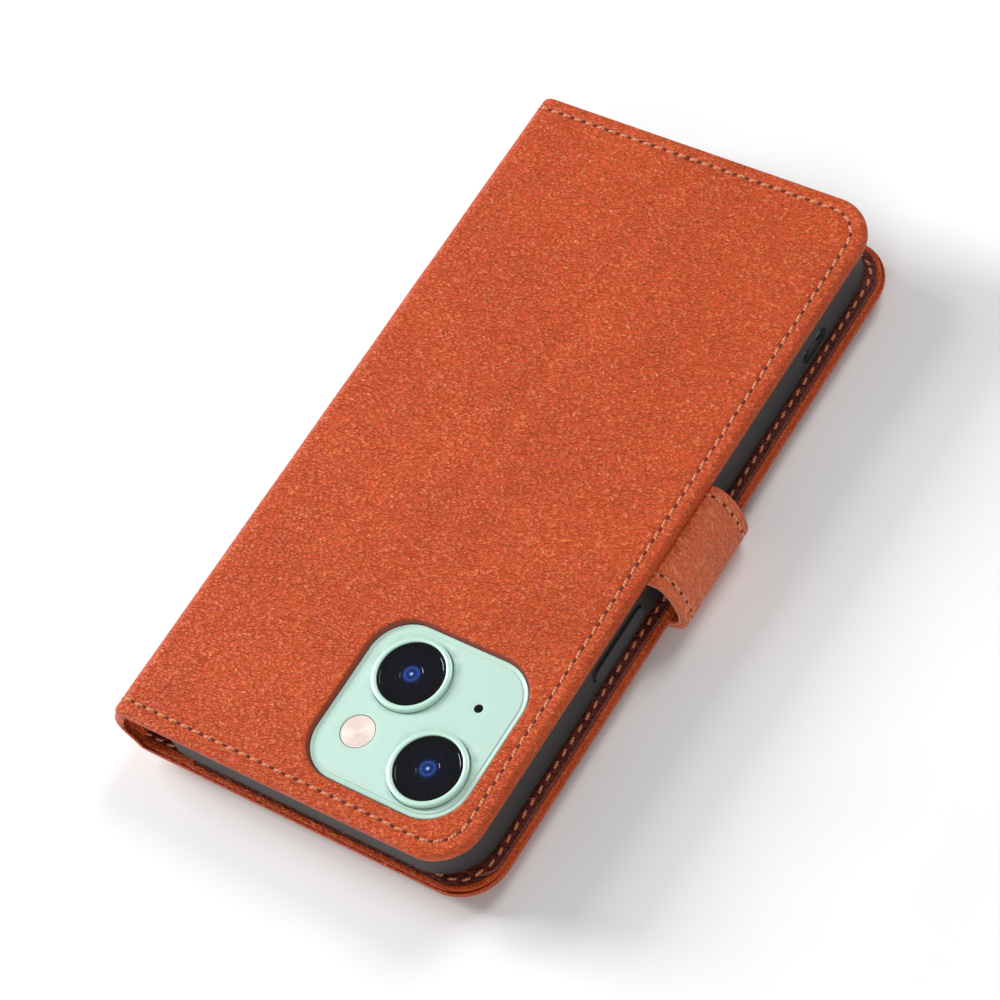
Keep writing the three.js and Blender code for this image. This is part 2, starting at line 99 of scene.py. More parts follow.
def bezier(p0, p1, p2, p3, steps=60):
    """Points along a cubic curve."""
    t = np.linspace(0, 1, steps)[:, None]
    p0, p1, p2, p3 = (np.array(p, float) for p in (p0, p1, p2, p3))
    return (1 - t) ** 3 * p0 + 3 * (1 - t) ** 2 * t * p1 + 3 * (1 - t) * t**2 * p2 + t**3 * p3


class Fold:
    """A path in the XZ plane that a flat sheet is bent along. side is +1 where the sheet's outer
    face is on the left of the path, -1 where it is on the right. Past its end it runs straight."""

    def __init__(self, points, side):
        points = np.array(points, float)
        keep = np.r_[True, np.linalg.norm(np.diff(points, axis=0), axis=1) > 1e-6]
        self.points = points[keep]
        steps = np.linalg.norm(np.diff(self.points, axis=0), axis=1)
        self.along = np.r_[0, np.cumsum(steps)]
        self.length = self.along[-1]
        tangent = np.gradient(self.points, self.along, axis=0)
        self.tangent = tangent / np.linalg.norm(tangent, axis=1)[:, None]
        self.side = side

    def bend(self, flat):
        """Flat points (u along the path, v across it, h below the outer face) to the row frame."""
        u, v, h = np.array(flat, float).T
        inside = np.clip(u, 0, self.length)
        x, z, tx, tz = (
            np.interp(inside, self.along, c)
            for c in (*self.points.T, *self.tangent.T)
        )
        size = np.hypot(tx, tz)
        tx, tz = tx / size, tz / size
        x = x + (u - inside) * tx - self.side * -tz * h
        z = z + (u - inside) * tz - self.side * tx * h
        return np.column_stack([x, v, z])


def panel_fold(mirror):
    """From the middle of the spine's outside, round the bulge and onto the flat panel."""
    def up(z):
        return 2 * MID_Z - z if mirror else z

    bulge = bezier(
        (SPINE_OUT, up(MID_Z)),
        (SPINE_OUT, up(MID_Z + 3.0)),
        (SPINE_X - 1.45, up(TOP - 4.1)),
        (SPINE_X - 0.9, up(TOP - 2.1)),
    )
    shoulder = bezier(
        (SPINE_X - 0.9, up(TOP - 2.1)),
        (SPINE_X - 0.5, up(TOP - 0.7)),
        (SPINE_X + 0.4, up(TOP)),
        (SPINE_X + 2.2, up(TOP)),
        40,
    )
    return Fold([*bulge, *shoulder[1:], (FLAT_START, up(TOP))], -1 if mirror else 1)


SPINE_FOLD = panel_fold(False)
COVER_FOLD = panel_fold(True)


def flat_u(fold, x):
    """Distance along a fold of a place on its flat part."""
    return fold.length + x - FLAT_START


# ------------------------ sheets built flat

DENSE = 0.45  # spacing of points where a sheet bends
SHORTEST = 0.3  # a last step under this share of the others is taken up by the one before
CLEARANCE = 0.35  # least distance of a field's own points from its edges


def stations(start, end, step, dense_to=0.0):
    """Distances along a straight run, closer together up to dense_to."""
    points = [start]
    while points[-1] < end - 1e-9:
        stride = DENSE if points[-1] < dense_to else step
        points.append(min(end, points[-1] + stride))
        if end - points[-1] < SHORTEST * stride:
            points[-1] = end
    return points


def open_outline(length, half, corner, dense_to, step=1.5, arc_steps=12):
    """A U: along one side, round the far end and back. Returns points and inward directions."""
    points, inward = [], []

    def put(u, v, du, dv):
        points.append((u, v))
        inward.append((du, dv))

    run = stations(0, length - corner, step, dense_to)
    for u in run[:-1]:
        put(u, -half, 0, 1)
    for i in range(arc_steps + 1):
        a = -math.pi / 2 + i * math.pi / 2 / arc_steps
        c, s = math.cos(a), math.sin(a)
        put(length - corner + corner * c, -half + corner + corner * s, -c, -s)
    for v in stations(-half + corner, half - corner, step)[1:-1]:
        put(length, v, -1, 0)
    for i in range(arc_steps + 1):
        a = i * math.pi / 2 / arc_steps
        c, s = math.cos(a), math.sin(a)
        put(length - corner + corner * c, half - corner + corner * s, -c, -s)
    for u in reversed(run[:-1]):
        put(u, half, 0, -1)
    return np.array(points), np.array(inward)


def closed_outline(u_range, v_range, corners, step=1.5, arc_steps=10):
    """A rectangle with a radius at each corner, in the order low-u low-v, then anticlockwise."""
    (u0, u1), (v0, v1) = u_range, v_range
    centres = [(u0, v0), (u1, v0), (u1, v1), (u0, v1)]
    signs = [(1, 1), (-1, 1), (-1, -1), (1, -1)]
    points, inward = [], []
    for k in range(4):
        r = corners[k]
        cu, cv = centres[k][0] + signs[k][0] * r, centres[k][1] + signs[k][1] * r
        for i in range(arc_steps + 1):
            a = math.pi + k * math.pi / 2 + i * math.pi / 2 / arc_steps
            points.append((cu + r * math.cos(a), cv + r * math.sin(a)))
            inward.append((-math.cos(a), -math.sin(a)))
        nxt = (k + 1) % 4
        end = np.array(centres[nxt]) + np.array(signs[nxt]) * corners[nxt]
        start = np.array(points[-1])
        goal = np.array([end[0], start[1]]) if k % 2 == 0 else np.array([start[0], end[1]])
        gap = np.linalg.norm(goal - start)
        count = max(1, int(gap / step))
        for i in range(1, count):
            p = start + (goal - start) * i / count
            points.append(tuple(p))
            inward.append(inward[-1])
    return np.array(points), np.array(inward)


def circle(u, v, radius, count):
    """A closed loop's points and the directions towards its middle."""
    a = np.arange(count) * 2 * math.pi / count
    ring = np.column_stack([np.cos(a), np.sin(a)])
    return np.array([u, v]) + radius * ring, -ring


def inside_loop(points, loop):
    """Which points lie inside a closed loop."""
    x, y = points.T
    inside = np.zeros(len(points), bool)
    for (x0, y0), (x1, y1) in zip(loop, np.roll(loop, -1, axis=0)):
        crosses = (y0 > y) != (y1 > y)
        with np.errstate(divide="ignore", invalid="ignore"):
            inside ^= crosses & (x < (x1 - x0) * (y - y0) / (y1 - y0) + x0)
    return inside


class Sheet:
    """An outer face built flat from rings round its edge and a triangulated field. A ring is an
    inset from the outline, a depth and, where it isn't the first, the finish of the faces up to
    it. A hole is a loop with its own rings, from the field down into it."""

    def __init__(self, outline, rings, closed, us, vs, holes=(), relief=None):
        base, inward = outline
        level = rings[-1][1]
        self.points, self.faces, self.paint = [], [], []
        count = len(base)
        spans = count if closed else count - 1
        for ring in rings:
            self._ring(base + inward * ring[0], ring[1])
        for k in range(len(rings) - 1):
            for j in range(spans):
                a, b = k * count + j, k * count + (j + 1) % count
                self._face((a, b, b + count, a + count), rings[k + 1])
        rim = list(range((len(rings) - 1) * count, len(rings) * count))
        edges = [(rim[j], rim[(j + 1) % count]) for j in range(spans)]
        shell = np.array([self.points[i][:2] for i in rim])
        if not closed:
            side = [v for v in vs if abs(v) < abs(self.points[rim[0]][1]) - 0.3]
            made = self._add([(0.0, v, level) for v in side])
            chain = [rim[0], *made, rim[-1]]
            edges += list(zip(chain[:-1], chain[1:]))
            rim += made
        loops = []
        for (loop, toward), profile in holes:
            ring = self._hole(loop, toward, profile)
            edges += list(zip(ring, ring[1:] + ring[:1]))
            rim += ring
            loops.append(loop - toward * profile[0][0])
        grid = np.array([(u, v, level) for u in us for v in vs])
        self._field(rim, edges, shell, loops, grid)
        self.points = np.array(self.points)
        if relief is not None:
            shallow = self.points[:, 2] < 0.5
            self.points[:, 2] += relief(self.points[:, 0], self.points[:, 1]) * shallow

    def _add(self, new):
        start = len(self.points)
        self.points += [tuple(p) for p in new]
        return list(range(start, start + len(new)))

    def _ring(self, loop, h):
        self._add([(u, v, h) for u, v in loop])

    def _face(self, corners, ring):
        self.faces.append(corners)
        self.paint.append(ring[2] if len(ring) > 2 else 0)

    def _hole(self, loop, toward, profile):
        start, count = len(self.points), len(loop)
        for ring in profile:
            self._ring(loop - toward * ring[0], ring[1])
        for k in range(len(profile) - 1):
            for j in range(count):
                a, b = start + k * count + j, start + k * count + (j + 1) % count
                self._face((a + count, a, b, b + count), profile[k + 1])
        return list(range(start, start + count))

    def _field(self, rim, edges, shell, loops, grid):
        """Triangulates what lies within the rim, outside every hole."""
        edge_points = np.array([self.points[i][:2] for i in rim])
        keep = inside_loop(grid[:, :2], shell)
        for loop in loops:
            keep &= ~inside_loop(grid[:, :2], loop)
        grid = grid[keep]
        away = np.array([np.min(np.hypot(*(edge_points - g[:2]).T)) for g in grid])
        order = rim + self._add(grid[away > CLEARANCE])
        index = {v: i for i, v in enumerate(order)}
        flat = [Vector(self.points[i][:2]) for i in order]
        lines = [(index[a], index[b]) for a, b in edges]
        verts, _, tris, origin, _, _ = delaunay_2d_cdt(flat, lines, [], 0, 1e-7)
        back = [order[o[0]] for o in origin]
        middles = np.array([np.mean([verts[i][:] for i in t], axis=0) for t in tris])
        drop = np.zeros(len(tris), bool)
        for loop in loops:
            drop |= inside_loop(middles, loop)
        kept = [tuple(back[i] for i in t) for t, gone in zip(tris, drop) if not gone]
        self.faces += kept
        self.paint += [0] * len(kept)


class Strip:
    """A straight band built flat: the same section across it at every station."""

    def __init__(self, us, half, middle, rings, vs):
        side = [(half - r[0], r[1]) for r in rings]
        section = [(-v, h) for v, h in side] + [(v, rings[-1][1]) for v in vs] + side[::-1]
        marks = [r[2] if len(r) > 2 else 0 for r in rings[1:]]
        paint = marks + [0] * (len(vs) + 1) + marks[::-1]
        self.points = np.array([(u, middle + v, h) for u in us for v, h in section])
        self.faces, self.paint = [], []
        count = len(section)
        for i in range(len(us) - 1):
            for j in range(count - 1):
                a = i * count + j
                self.faces.append((a, a + count, a + count + 1, a + 1))
                self.paint.append(paint[j])


# ------------------------ meshes

def vertex_normals(points, faces):
    """Each point's unit normal, from the areas of the faces round it."""
    normals = np.zeros_like(points)
    for f in faces:
        a, b, c = points[f[0]], points[f[1]], points[f[2]]
        n = np.cross(b - a, c - a)
        if len(f) == 4:
            n = n + np.cross(c - a, points[f[3]] - a)
        for i in f:
            normals[i] += n
    return normals / np.maximum(np.linalg.norm(normals, axis=1), 1e-12)[:, None]


def thicken(points, faces, paint, thickness, edge_paint):
    """Closes an open face into a solid by a copy set inwards, joined round its free edges."""
    inner = points - vertex_normals(points, faces) * thickness
    count = len(points)
    sides = {side: None for f in faces for side in zip(f, f[1:] + f[:1])}
    free = [(a, b) for a, b in sides if (b, a) not in sides]
    walls = [(b, a, a + count, b + count) for a, b in free]
    under = [tuple(i + count for i in reversed(f)) for f in faces]
    return (
        np.vstack([points, inner]),
        [*faces, *under, *walls],
        [*paint, *paint, *[edge_paint] * len(walls)],
    )


def make_object(name, points, faces, materials, paint=None, grain=None, smooth=40):
    """A mesh object from millimetre points. grain is each point's place in the flat hide."""
    mesh = bpy.data.meshes.new(name)
    mesh.from_pydata([tuple(p * MM) for p in np.asarray(points)], [], [tuple(f) for f in faces])
    for material in materials:
        mesh.materials.append(material)
    if paint is not None:
        mesh.polygons.foreach_set("material_index", np.array(paint, np.int32))
    places = mesh.attributes.new("grain", "FLOAT_VECTOR", "POINT")
    source = np.asarray(points if grain is None else grain, np.float32)
    places.data.foreach_set("vector", source.ravel())
    mesh.polygons.foreach_set("use_smooth", np.ones(len(mesh.polygons), bool))
    mesh.update()
    mesh.set_sharp_from_angle(angle=math.radians(smooth))
    obj = bpy.data.objects.new(name, mesh)
    scene.collection.objects.link(obj)
    return obj


def bent_sheet(name, sheet, fold, thickness, materials, edge_paint=0, grain_sign=1):
    """Bends a flat sheet along its fold and thickens it."""
    faces = sheet.faces if fold.side > 0 else [tuple(reversed(f)) for f in sheet.faces]
    bent = fold.bend(sheet.points)
    points, faces, paint = thicken(bent, faces, sheet.paint, thickness, edge_paint)
    grain = sheet.points * np.array([grain_sign, 1, 1])
    grain = np.vstack([grain, grain + np.array([0, 0, thickness])])
    return make_object(name, points, faces, materials, paint, grain)


def lathe(profile, centre, segments):
    """Rings of (radius, height) turned about a vertical line; a zero radius is a single point."""
    points, faces, rows = [], [], []
    for r, z in profile:
        if r < 1e-9:
            rows.append([len(points)])
            points.append((centre[0], centre[1], z))
            continue
        rows.append(list(range(len(points), len(points) + segments)))
        for i in range(segments):
            a = 2 * math.pi * i / segments
            points.append((centre[0] + r * math.cos(a), centre[1] + r * math.sin(a), z))
    for low, high in zip(rows, rows[1:]):
        for i in range(segments):
            j = (i + 1) % segments
            if len(low) == 1:
                faces.append((low[0], high[j], high[i]))
            elif len(high) == 1:
                faces.append((low[i], low[j], high[0]))
            else:
                faces.append((low[i], low[j], high[j], high[i]))
    return np.array(points), faces


def closed_lathe(profile, centre, segments):
    """A turned ring whose profile returns to its start."""
    points, faces = lathe(profile, centre, segments)
    last = (len(profile) - 1) * segments
    for i in range(segments):
        j = (i + 1) % segments
        faces.append((last + i, last + j, j, i))
    return points, faces


# ------------------------ seams

PITCH = 2.7  # about, from stitch to stitch: a row is divided evenly
STITCH = 1.95  # length of thread on show
THREAD_RADIUS = 0.29
SLANT = 0.17  # how far each end of a stitch stands off the row
STITCH_LEVEL = 0.08  # depth of a stitch's axis at its middle
DIVE = 0.26  # how much deeper it goes at its ends


def seam_line(length, half, corner, inset):
    """Dense points along a seam that follows an open outline, with the run along each."""
    points, inward = open_outline(length, half, corner, 0, 0.25, 24)
    line = points + inward * inset
    run = np.r_[0, np.cumsum(np.linalg.norm(np.diff(line, axis=0), axis=1))]
    return line, run


def at_run(line, run, s):
    """The places on a line at given distances along it."""
    return np.column_stack([np.interp(s, run, line[:, 0]), np.interp(s, run, line[:, 1])])


def stitch_row(line, run, level, seed=3):
    """Stitches and needle holes along a flat line: points (u, v, h), faces, paint and twist.
    level gives the depth of the leather's face at a place."""
    rng = np.random.default_rng(seed)
    points, faces, paint, twist = [], [], [], []
    sides, rows = 8, 9
    total = run[-1]
    count = round(total / PITCH)
    pitch = total / count
    for k in range(count):
        centre = (k + 0.5) * pitch
        wobble = rng.uniform(-1, 1, 3) * np.array([0.03, 0.04, 0.015])
        base = len(points)
        reach = np.linspace(-1, 1, rows)
        where = at_run(line, run, centre + reach * STITCH / 2)
        ahead = at_run(line, run, centre + reach * STITCH / 2 + 0.05)
        along = ahead - where
        along /= np.linalg.norm(along, axis=1)[:, None]
        across = np.column_stack([-along[:, 1], along[:, 0]])
        for i, a in enumerate(reach):
            radius = THREAD_RADIUS * (1 + wobble[2]) * max(0.25, 1 - abs(a) ** 5 * 0.75)
            middle = where[i] + across[i] * (SLANT * a + wobble[0])
            depth = level(*where[i]) + STITCH_LEVEL + DIVE * abs(a) ** 4
            for j in range(sides):
                turn = 2 * math.pi * j / sides
                p = middle + across[i] * radius * 1.15 * math.cos(turn)
                points.append((*p, depth - radius * math.sin(turn)))
                twist.append((a * STITCH / 2, turn, k))
        for i in range(rows - 1):
            for j in range(sides):
                a, b = base + i * sides + j, base + i * sides + (j + 1) % sides
                faces.append((a, b, b + sides, a + sides))
                paint.append(0)
        faces.append(tuple(base + j for j in reversed(range(sides))))
        faces.append(tuple(base + (rows - 1) * sides + j for j in range(sides)))
        paint += [0, 0]
        needle_hole(points, faces, paint, twist, line, run, centre - pitch / 2, level)
    return np.array(points), faces, paint, np.array(twist)


def needle_hole(points, faces, paint, twist, line, run, s, level):
    """A small flattened bead lying in the groove where the thread goes down, painted dark as the
    shade inside the needle hole.
    """
    here, ahead = at_run(line, run, np.array([s, s + 0.05]))
    along = (ahead - here) / np.linalg.norm(ahead - here)
    across = np.array([-along[1], along[0]])
    base = len(points)
    depth = level(*here) + 0.12
    sides = 10
    for share, lift in ((1.0, 0.0), (0.7, 0.07)):
        for j in range(sides):
            a = 2 * math.pi * j / sides
            p = here + along * 0.5 * share * math.cos(a) + across * 0.4 * share * math.sin(a)
            points.append((*p, depth - lift))
            twist.append((0, 0, 0))
    bottom = len(points)
    points.append((*here, depth + 0.2))
    twist.append((0, 0, 0))
    for j in range(sides):
        k = (j + 1) % sides
        faces.append((base + j, base + k, base + sides + k, base + sides + j))
        faces.append((base + k, base + j, bottom))
        paint.extend([1, 1])
    faces.append(tuple(base + sides + j for j in range(sides)))
    paint.append(1)


def joined(parts):
    """Several rows of stitches as one."""
    points, faces, paint, twist = np.zeros((0, 3)), [], [], np.zeros((0, 3))
    for more, more_faces, more_paint, more_twist in parts:
        faces += [tuple(i + len(points) for i in f) for f in more_faces]
        points = np.vstack([points, more])
        twist = np.vstack([twist, more_twist])
        paint += more_paint
    return points, faces, paint, twist


def bent_seam(name, fold, parts):
    points, faces, paint, twist = parts
    if fold.side < 0:
        faces = [tuple(reversed(f)) for f in faces]
    return make_object(name, fold.bend(points), faces, [THREAD, NEEDLE_HOLE_SHADE], paint, twist, smooth=60)


# ------------------------ materials

def rgb(red, green, blue):
    """A display colour out of 255 as linear values."""
    def linear(c):
        c /= 255
        return c / 12.92 if c <= 0.04045 else ((c + 0.055) / 1.055) ** 2.4
    return (linear(red), linear(green), linear(blue), 1.0)


class Shader:
    """A small helper round one material's node tree."""

    def __init__(self, name):
        self.material = bpy.data.materials.new(name)
        self.material.use_nodes = True
        self.tree = self.material.node_tree
        self.surface = self.tree.nodes["Principled BSDF"]

    def node(self, kind, **settings):
        made = self.tree.nodes.new(kind)
        for key, value in settings.items():
            setattr(made, key, value)
        return made

    def link(self, source, target):
        self.tree.links.new(source, target)

    def fixed(self, **values):
        """Even values of the surface, by the sockets' names."""
        for key, value in values.items():
            self.surface.inputs[key.replace("_", " ")].default_value = value
        return self

    def places(self):
        """Millimetres in the flat hide."""
        return self.node("ShaderNodeAttribute", attribute_name="grain").outputs["Vector"]

    def object_places(self):
        """Millimetres in the piece's own frame."""
        source = self.node("ShaderNodeTexCoord")
        mapping = self.node("ShaderNodeMapping")
        mapping.inputs["Scale"].default_value = (1 / MM,) * 3
        self.link(source.outputs["Object"], mapping.inputs["Vector"])
        return mapping.outputs["Vector"]

    def swayed(self, vector, wavelength, reach):
        """Places pushed about by a slow noise, so that a grain wanders."""
        slow = self.node("ShaderNodeTexNoise")
        slow.inputs["Scale"].default_value = 1 / wavelength
        slow.inputs["Detail"].default_value = 1.0
        self.link(vector, slow.inputs["Vector"])
        push = self.node("ShaderNodeVectorMath", operation="MULTIPLY_ADD")
        self.link(slow.outputs["Color"], push.inputs[0])
        push.inputs[1].default_value = (2 * reach,) * 3
        self.link(vector, push.inputs[2])
        return push.outputs["Vector"]

    def stretched(self, vector, turn, along, across):
        """Places drawn out along a direction in the hide."""
        mapping = self.node("ShaderNodeMapping", vector_type="TEXTURE")
        mapping.inputs["Rotation"].default_value = (0, 0, turn)
        mapping.inputs["Scale"].default_value = (along, across, across)
        self.link(vector, mapping.inputs["Vector"])
        return mapping.outputs["Vector"]

    def noise(self, vector, scale, detail, roughness=0.5, distortion=0.0):
        made = self.node("ShaderNodeTexNoise")
        made.inputs["Scale"].default_value = scale
        made.inputs["Detail"].default_value = detail
        made.inputs["Roughness"].default_value = roughness
        made.inputs["Distortion"].default_value = distortion
        self.link(vector, made.inputs["Vector"])
        return made.outputs["Fac"]

    def voronoi(self, vector, scale, feature):
        made = self.node("ShaderNodeTexVoronoi", feature=feature)
        made.inputs["Scale"].default_value = scale
        self.link(vector, made.inputs["Vector"])
        return made.outputs["Distance"]

    def ramp(self, value, stops):
        made = self.node("ShaderNodeValToRGB")
        elements = made.color_ramp.elements
        while len(elements) < len(stops):
            elements.new(0.5)
        for element, (place, colour) in zip(elements, stops):
            element.position = place
            element.color = colour
        self.link(value, made.inputs["Fac"])
        return made.outputs["Color"]

    def spread(self, value, low, high, from_low=0.0, from_high=1.0):
        """A value's own range stretched to run from low to high."""
        made = self.node("ShaderNodeMapRange")
        ends = {"From Min": from_low, "From Max": from_high, "To Min": low, "To Max": high}
        for key, number in ends.items():
            made.inputs[key].default_value = number
        self.link(value, made.inputs["Value"])
        return made.outputs["Result"]

    def math(self, operation, a, b):
        made = self.node("ShaderNodeMath", operation=operation)
        for k, value in enumerate((a, b)):
            if isinstance(value, (int, float)):
                made.inputs[k].default_value = value
            else:
                self.link(value, made.inputs[k])
        return made.outputs["Value"]

    def mix(self, factor, a, b, blend):
        made = self.node("ShaderNodeMix", data_type="RGBA", blend_type=blend)
        for k, value in zip((0, 6, 7), (factor, a, b)):
            if isinstance(value, (int, float, tuple)):
                made.inputs[k].default_value = value
            else:
                self.link(value, made.inputs[k])
        return made.outputs[2]

    def bump(self, height, depth):
        made = self.node("ShaderNodeBump")
        made.inputs["Distance"].default_value = depth * MM
        made.inputs["Strength"].default_value = 1.0
        self.link(height, made.inputs["Height"])
        self.link(made.outputs["Normal"], self.surface.inputs["Normal"])


GRAIN_TURN = math.radians(12)


def leather(name, light, middle, dark, depth=0.4):
    """Fine crinkled grain: small pebbles under thin wandering lines. The colour follows the relief:
    the lines are paler as a painted highlight and the pits darker as painted shade.
    """
    s = Shader(name)
    even = s.places()
    wander = s.swayed(even, 7.0, 0.7)
    wrinkle = s.noise(s.stretched(wander, GRAIN_TURN, 3.4, 1.0), 1.1, 2.0, 0.5, 0.25)
    fold = s.math("ABSOLUTE", s.math("SUBTRACT", wrinkle, 0.5), 0)
    line = s.spread(fold, 1.0, 0.0, 0.0, 0.08)
    cells = s.voronoi(s.stretched(wander, GRAIN_TURN, 1.8, 1.0), 2.4, "SMOOTH_F1")
    pebble = s.spread(cells, 1.0, 0.0, 0.0, 0.75)
    height = s.math("MULTIPLY", s.math("ADD", line, pebble), 0.5)
    # colour by height: raised lines take the paler colour as a painted highlight, pits the darker one
    # as painted shade
    tone = s.ramp(height, [(0.1, dark), (0.45, middle), (0.9, light)])
    broad = s.noise(even, 0.045, 2.0)
    patches = s.ramp(broad, [(0.35, rgb(240, 232, 226)), (0.65, (1, 1, 1, 1))])
    s.link(s.mix(0.7, tone, patches, "MULTIPLY"), s.surface.inputs["Base Color"])
    s.link(s.spread(height, 0.55, 0.36), s.surface.inputs["Roughness"])
    s.bump(height, depth)
    return s.fixed(Specular_IOR_Level=0.35).material


def plain(name, low, high, roughness, scale, depth, metallic=0.0):
    """A two-tone fine-grained finish for moulded and pressed pieces."""
    s = Shader(name)
    places = s.object_places()
    fine = s.noise(places, scale, 4.0, 0.6)
    broad = s.noise(places, scale * 0.12, 2.0)
    value = s.math("ADD", s.math("MULTIPLY", fine, 0.5), s.math("MULTIPLY", broad, 0.5))
    s.link(s.ramp(value, [(0.3, low), (0.7, high)]), s.surface.inputs["Base Color"])
    spread = s.spread(fine, roughness[0], roughness[1], 0.3, 0.7)
    s.link(spread, s.surface.inputs["Roughness"])
    s.bump(fine, depth)
    return s.fixed(Metallic=metallic).material


def thread(name, light, dark):
    """Twisted thread: slanting plies across each stitch, darker in the grooves between them as
    painted shade.
    """
    s = Shader(name)
    source = s.node("ShaderNodeAttribute", attribute_name="grain")
    split = s.node("ShaderNodeSeparateXYZ")
    s.link(source.outputs["Vector"], split.inputs["Vector"])
    phase = s.math("ADD", s.math("MULTIPLY", split.outputs["X"], 9.0), split.outputs["Y"])
    ply = s.spread(s.math("SINE", phase, 0), 0, 1, -1, 1)
    s.link(s.ramp(ply, [(0.05, dark), (0.6, light)]), s.surface.inputs["Base Color"])
    s.link(s.spread(ply, 0.75, 0.5), s.surface.inputs["Roughness"])
    s.bump(ply, 0.05)
    return s.fixed(Sheen_Weight=0.3, Specular_IOR_Level=0.35).material


# the first colour is a painted highlight on the raised grain, the last is painted shade in its pits;
# the middle one is the leather's own colour
TAN_RIDGE_HIGHLIGHT, TAN, TAN_PIT_SHADE = rgb(224, 116, 60), rgb(198, 75, 18), rgb(188, 64, 12)
LEATHER = leather("tan_leather", TAN_RIDGE_HIGHLIGHT, TAN, TAN_PIT_SHADE)
# a brighter copy of the tan leather: painted light for the strap, with the same painted ridge
# highlight and pit shade in its ramp
LIT_STRAP_LEATHER = leather("strap_leather_painted_light", rgb(242, 138, 92), rgb(230, 112, 66), rgb(206, 88, 46), 0.5)
# a darker copy of the tan leather: painted shade for the inside of the cover, the pockets and the
# spine's inside
SHADED_LINING = leather("lining_leather_painted_shade", rgb(118, 46, 30), rgb(98, 34, 22), rgb(72, 22, 14), 0.25)
EDGE_PAINT = plain("edge_paint", rgb(132, 52, 38), rgb(148, 62, 46), (0.5, 0.7), 6.0, 0.02)
CUT_EDGE = plain("cut_edge", rgb(206, 112, 84), rgb(226, 142, 112), (0.7, 0.9), 9.0, 0.04)
# the second colour is painted shade in the grooves between the plies
THREAD = thread("thread", rgb(222, 142, 98), rgb(176, 88, 52))
# dark brown painted as the shade inside the needle holes
NEEDLE_HOLE_SHADE = plain("needle_hole", rgb(74, 22, 8), rgb(98, 34, 14), (0.8, 0.95), 12.0, 0.02)
RUBBER = plain("tray_rubber", rgb(36, 35, 35), rgb(47, 46, 45), (0.5, 0.62), 14.0, 0.012)
BOARD = plain("pressed_board", rgb(150, 132, 108), rgb(172, 154, 128), (0.85, 0.95), 5.0, 0.03)
MINT = plain("mint_glass", rgb(180, 212, 199), rgb(186, 216, 204), (0.3, 0.36), 20.0, 0.001)
MINT_METAL = plain(
    "mint_metal", rgb(184, 219, 205), rgb(192, 225, 211), (0.3, 0.38), 20.0, 0.001, 0.2
)
SCREEN = plain("screen_glass", rgb(6, 6, 8), rgb(9, 9, 12), (0.05, 0.08), 3.0, 0.0005)
STEEL = plain("plated_steel", rgb(150, 150, 154), rgb(176, 176, 180), (0.25, 0.4), 8.0, 0.004, 1.0)
FLASH = plain("flash_lens", rgb(222, 198, 188), rgb(234, 218, 208), (0.3, 0.4), 5.0, 0.01)
# darker mint painted as the shade in the gaps round the lenses, flash and microphone
GAP_SHADE = plain("gap_painted_shade", rgb(84, 128, 112), rgb(96, 142, 126), (0.6, 0.7), 12.0, 0.005)


LENS_RADIUS = 6.5


def lens_glass(name, centre):
    """Black glass that turns dark blue towards the middle, with a bright blue ring painted as a
    reflection and a white-blue glint painted at the centre.
    """
    s = Shader(name)
    source = s.node("ShaderNodeAttribute", attribute_name="grain")
    offset = s.node("ShaderNodeVectorMath", operation="SUBTRACT")
    offset.inputs[1].default_value = centre
    s.link(source.outputs["Vector"], offset.inputs[0])
    length = s.node("ShaderNodeVectorMath", operation="LENGTH")
    s.link(offset.outputs["Vector"], length.inputs[0])
    share = s.math("DIVIDE", length.outputs["Value"], LENS_RADIUS)
    # from the centre out: a painted white-blue glint, dark blue, a bright blue ring that is a painted
    # reflection, then dark navy and black
    stops = [
        (0.0, rgb(205, 220, 255)), (0.035, rgb(110, 150, 220)), (0.07, rgb(26, 42, 98)),
        (0.15, rgb(22, 38, 88)), (0.19, rgb(42, 74, 146)), (0.25, rgb(20, 34, 82)),
        (0.31, rgb(8, 11, 26)), (1.0, rgb(6, 6, 8)),
    ]
    s.link(s.ramp(share, stops), s.surface.inputs["Base Color"])
    haze = s.noise(s.places(), 1.2, 3.0)
    s.link(s.spread(haze, 0.06, 0.16, 0.3, 0.7), s.surface.inputs["Roughness"])
    s.bump(haze, 0.002)
    return s.fixed(Specular_IOR_Level=0.4).material


# ------------------------ back panel and front cover

# insets and depths from a panel's rim: a full rounded edge, then the valley of the seam
RIM_RINGS = [
    (0.30, 2.30), (0.08, 1.95), (0.0, 1.45), (0.02, 1.0), (0.12, 0.66), (0.32, 0.36),
    (0.62, 0.14), (1.0, 0.03), (1.5, 0.0), (2.1, 0.02), (2.5, 0.09), (2.78, 0.19), (3.0, 0.24),
    (3.22, 0.19), (3.48, 0.09), (3.75, 0.02), (4.0, 0.0),
]
SEAM_INSET = 3.0


def grid_lines(length, half, dense_to):
    """Where the points of a panel's field lie: about 2 mm apart, closer at the spine."""
    us = stations(DENSE, length - 4, 2.0, dense_to)
    vs = list(np.linspace(-half + 3, half - 3, int(half)))
    return us, vs


def ripple(u, v, seed):
    """A slow, faint unevenness of hand-laid leather, kept just below the CAD face."""
    rng = np.random.default_rng(seed)
    total = np.zeros_like(u)
    for _ in range(7):
        ku, kv = rng.normal(0, 0.16, 2)
        total += math.cos(rng.uniform(0, 6.28)) * np.sin(ku * u + kv * v + rng.uniform(0, 6.28))
    return 0.012 * total + 0.03


def back_relief(u, v):
    """The ripple, and the crease between the boards from the port end to the camera."""
    off = u - flat_u(SPINE_FOLD, CREASE_X)
    fade = 1 / (1 + np.exp(-(v - CREASE_END) / 3))
    valley = 0.3 * np.exp(-((off / 1.7) ** 2))
    shoulder = -0.08 * np.exp(-(((off - 4.0) / 2.0) ** 2))
    return (valley + shoulder) * fade + ripple(u, v, 5)


